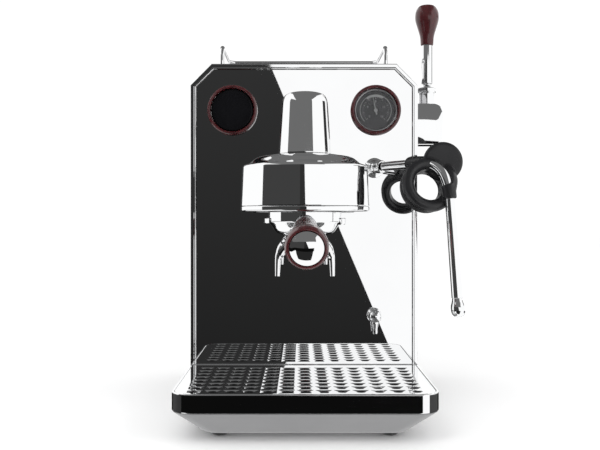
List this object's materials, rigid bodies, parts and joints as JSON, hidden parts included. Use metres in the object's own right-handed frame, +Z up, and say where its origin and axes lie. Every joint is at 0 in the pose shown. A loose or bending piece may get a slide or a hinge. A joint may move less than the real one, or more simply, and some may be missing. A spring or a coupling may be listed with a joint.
{
  "type": "espresso machine",
  "caption": "Pump espresso machine with lever steam valve, jointed steam wand, locking portafilter, pull-out drip tray and lift-out water tank.",
  "frame": {"origin": "middle of the bounding box in plan, at the undersides of the feet", "axes": "+X to the user's right as seen from the front, front towards -Y, +Z up"},
  "size_m": [0.2964, 0.5002, 0.4741],
  "materials": {
    "chrome": "mirror-polished",
    "panel": "mirror-polished sheet",
    "steel": "fine brushed",
    "base_grey": "satin grey",
    "wood": "dark red-brown, lacquered",
    "display_glass": "gloss black touch glass",
    "dial": "matt printed",
    "needle": "satin",
    "gauge_glass": "clear",
    "rubber": "smooth satin",
    "plastic": "moulded",
    "tank_plastic": "smoky translucent",
    "aluminium": "cast",
    "board": "green laminate"
  },
  "bodies": {
    "machine": {"front_bezel": "chrome", "group_bell": "chrome", "group_dome": "chrome", "group_trim_ring": "chrome", "group_neck": "chrome", "wand_flange": "chrome", "water_flange": "chrome", "steam_valve_housing": "chrome", "lever_hub": "chrome", "cup_rail": "chrome", "front_panel": "panel", "casing_shell": "steel", "rear_cover": "steel", "gauge_body": "steel", "brew_head": "steel", "shower_screen": "steel", "shower_screw": "steel", "steam_valve_body": "steel", "top_plate": "steel", "base_housing": "base_grey", "control_ring": "wood", "gauge_ring": "wood", "control_display": "display_glass", "gauge_dial": "dial", "gauge_glass": "gauge_glass", "foot_front_left": "rubber", "foot_front_right": "rubber", "foot_rear_left": "rubber", "foot_rear_right": "rubber", "group_gasket": "rubber", "pump": "plastic", "solenoid_valve": "plastic", "power_inlet": "plastic", "brew_thermoblock": "aluminium", "steam_thermoblock": "aluminium", "control_board": "board"},
    "drip_tray": {"drip_pan": "chrome"},
    "grate": {"drip_grate": "chrome"},
    "portafilter": {"portafilter_body": "chrome", "filter_basket": "steel", "double_spout": "chrome", "handle_ferrule": "chrome", "handle_grip": "wood", "handle_cap": "chrome"},
    "needle": {"gauge_needle": "needle"},
    "lever": {"lever_rod": "chrome", "lever_knob": "wood"},
    "valve_stem": {"steam_valve_stem": "steel"},
    "wand_joint": {"wand_ball": "chrome"},
    "wand": {"wand_tube": "chrome", "wand_tip": "chrome", "wand_grip": "rubber"},
    "hot_water_spout": {"water_spout": "chrome"},
    "tank": {"water_tank": "tank_plastic"},
    "lid": {"tank_lid": "steel"}
  },
  "joints": [
    {"name": "tray_pull", "type": "slide", "parent": "machine", "child": "drip_tray", "axis": [0, -1, 0], "range_m": [0, 0.17]},
    {"name": "grate_lift", "type": "slide", "parent": "drip_tray", "child": "grate", "axis": [0, 0, 1], "range_m": [0, 0.03]},
    {"name": "portafilter_turn", "type": "hinge", "parent": "machine", "child": "portafilter", "pos_m": [-0.01875, -0.06506, 0.222], "axis": [0, 0, 1], "range_deg": [-45, 0]},
    {"name": "gauge_needle_turn", "type": "hinge", "parent": "machine", "child": "needle", "pos_m": [0.06275, 0.03394, 0.338], "axis": [0, 1, 0], "range_deg": [-123, 147]},
    {"name": "steam_lever", "type": "hinge", "parent": "machine", "child": "lever", "pos_m": [0.13125, 0.09994, 0.3703], "axis": [1, 0, 0], "range_deg": [0, 20]},
    {"name": "valve_stem_push", "type": "slide", "parent": "machine", "child": "valve_stem", "axis": [0, 0, -1], "range_m": [0, 0.0031]},
    {"name": "wand_swivel", "type": "hinge", "parent": "machine", "child": "wand_joint", "pos_m": [0.06125, 0.01964, 0.2724], "axis": [0, 0, 1], "range_deg": [-4, 35]},
    {"name": "wand_lift", "type": "hinge", "parent": "wand_joint", "child": "wand", "pos_m": [0.06125, 0.01964, 0.2724], "axis": [-1, 0, 0], "range_deg": [0, 25]},
    {"name": "water_spout_swivel", "type": "hinge", "parent": "machine", "child": "hot_water_spout", "pos_m": [0.06075, 0.02204, 0.105], "axis": [0, 0, 1], "range_deg": [-30, 30]},
    {"name": "tank_lift", "type": "slide", "parent": "machine", "child": "tank", "axis": [0, 0, 1], "range_m": [0, 0.25]},
    {"name": "lid_open", "type": "hinge", "parent": "tank", "child": "lid", "pos_m": [-0.01875, 0.24344, 0.3913], "axis": [-1, 0, 0], "range_deg": [0, 95]}
  ],
  "couplings": [
    {"joint": "valve_stem_push", "follows": "steam_lever", "m_per_rad": 0.0086}
  ]
}
